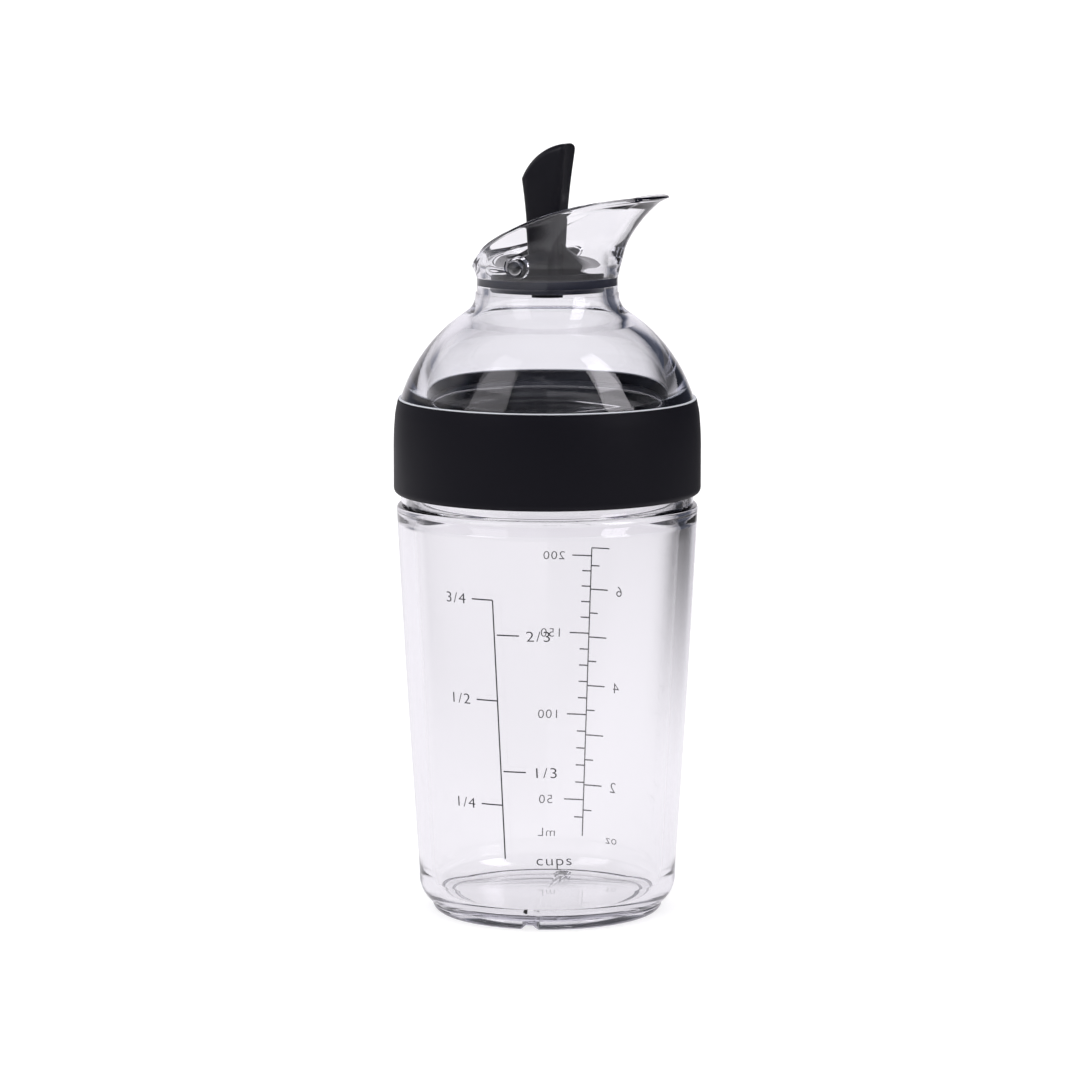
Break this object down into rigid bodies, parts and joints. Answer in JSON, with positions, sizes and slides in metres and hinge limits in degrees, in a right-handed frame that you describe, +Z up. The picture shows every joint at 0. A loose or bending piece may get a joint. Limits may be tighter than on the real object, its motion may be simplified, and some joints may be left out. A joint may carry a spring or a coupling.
{
  "type": "salad dressing shaker bottle",
  "caption": "Clear tapered shaker cup with a screw-on domed lid, soft grip collar, pouring spout and tilting lever stopper.",
  "frame": {"origin": "centre of the foot, on the surface that the bottle stands on", "axes": "+Z up along the cup's axis, +X towards the spout's tip, Y along the lever's pin"},
  "size_m": [0.0708, 0.0708, 0.1778],
  "materials": {
    "clear_cup": "clear, glossy",
    "clear_lid": "clear, glossy",
    "black_soft_grip": "matt, soft to the touch",
    "gasket_silicone": "satin silicone",
    "black_lever": "satin black",
    "dark_silicone": "satin silicone",
    "pin_steel": "polished"
  },
  "bodies": {
    "cup": {"container": "clear_cup"},
    "gasket": {"lid_gasket": "gasket_silicone"},
    "lid": {"dome": "clear_lid", "grip_collar": "black_soft_grip", "hinge_pin": "pin_steel"},
    "stopper": {"lever": "black_lever", "stopper_seal": "dark_silicone"}
  },
  "joints": [
    {"name": "lid_rise", "type": "slide", "parent": "cup", "child": "gasket", "axis": [0, 0, 1], "range_m": [0, 0.02]},
    {"name": "lid_turn", "type": "hinge", "parent": "gasket", "child": "lid", "pos_m": [0, 0, 0.114], "axis": [0, 0, 1], "range_deg": [0, 720]},
    {"name": "lever_tilt", "type": "hinge", "parent": "lid", "child": "stopper", "pos_m": [0, 0, 0.1504], "axis": [0, -1, 0], "range_deg": [0, 60]}
  ],
  "couplings": [
    {"joint": "lid_rise", "follows": "lid_turn", "m_per_rad": 0.0015915}
  ]
}
